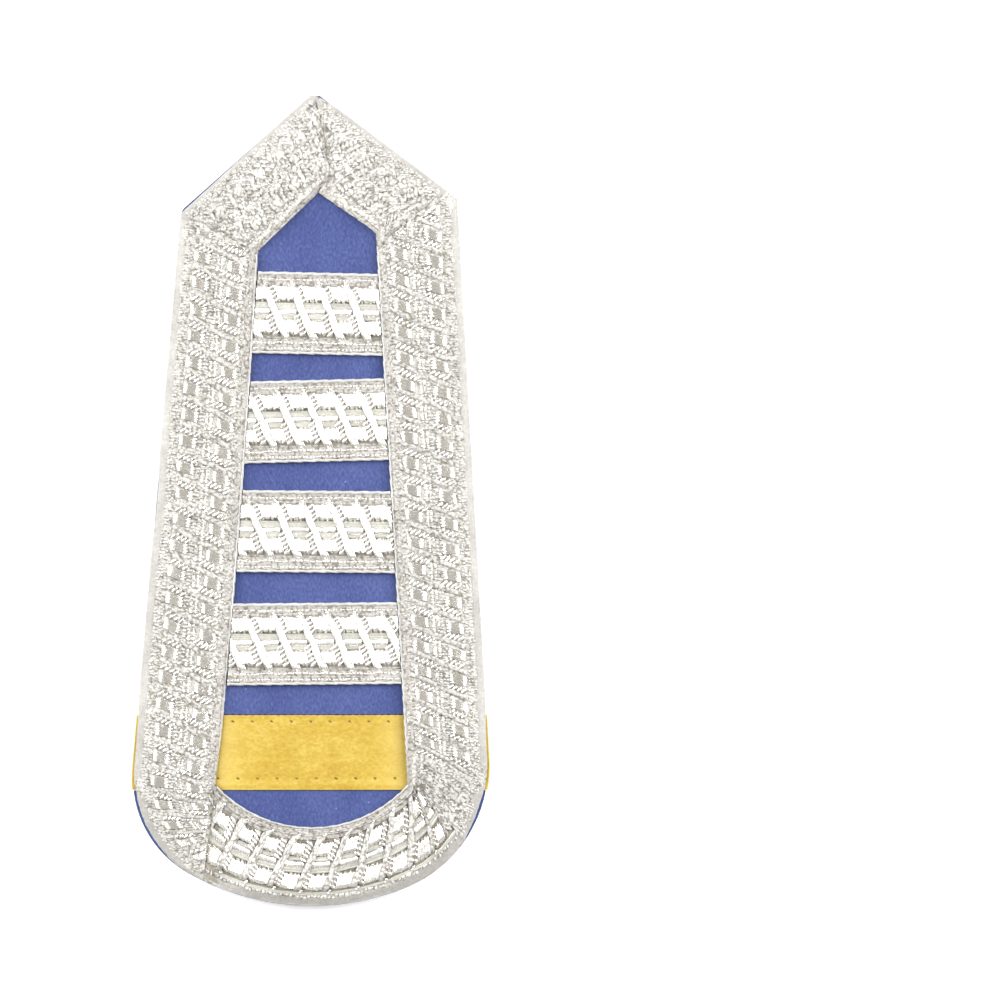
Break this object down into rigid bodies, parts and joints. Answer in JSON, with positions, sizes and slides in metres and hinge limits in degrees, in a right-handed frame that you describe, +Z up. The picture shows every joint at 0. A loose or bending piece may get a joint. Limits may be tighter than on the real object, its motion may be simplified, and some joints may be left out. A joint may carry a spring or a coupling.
{
  "type": "shoulder board",
  "caption": "Stiff peaked shoulder board with a silver lace border, lace bars on blue cloth, a gold ribbon and a fastening tongue.",
  "frame": {"origin": "middle of the board's outline in the plane that it rests on", "axes": "+X across the board to the right seen face up, +Y along it to the peak, +Z up out of its face"},
  "size_m": [0.0598, 0.1352, 0.0056],
  "materials": {
    "cloth": "fine napped wool cloth",
    "ribbon": "satin",
    "lace": "woven silver metal thread",
    "tongue": "plain doubled cloth"
  },
  "bodies": {
    "root": {"board": "cloth", "ribbon": "ribbon", "bar_1": "lace", "bar_2": "lace", "bar_3": "lace", "bar_4": "lace", "peak_lace_left": "lace", "peak_lace_right": "lace", "side_lace_left": "lace", "side_lace_right": "lace", "foot_lace": "lace", "fastening_tongue": "tongue"}
  },
  "joints": []
}
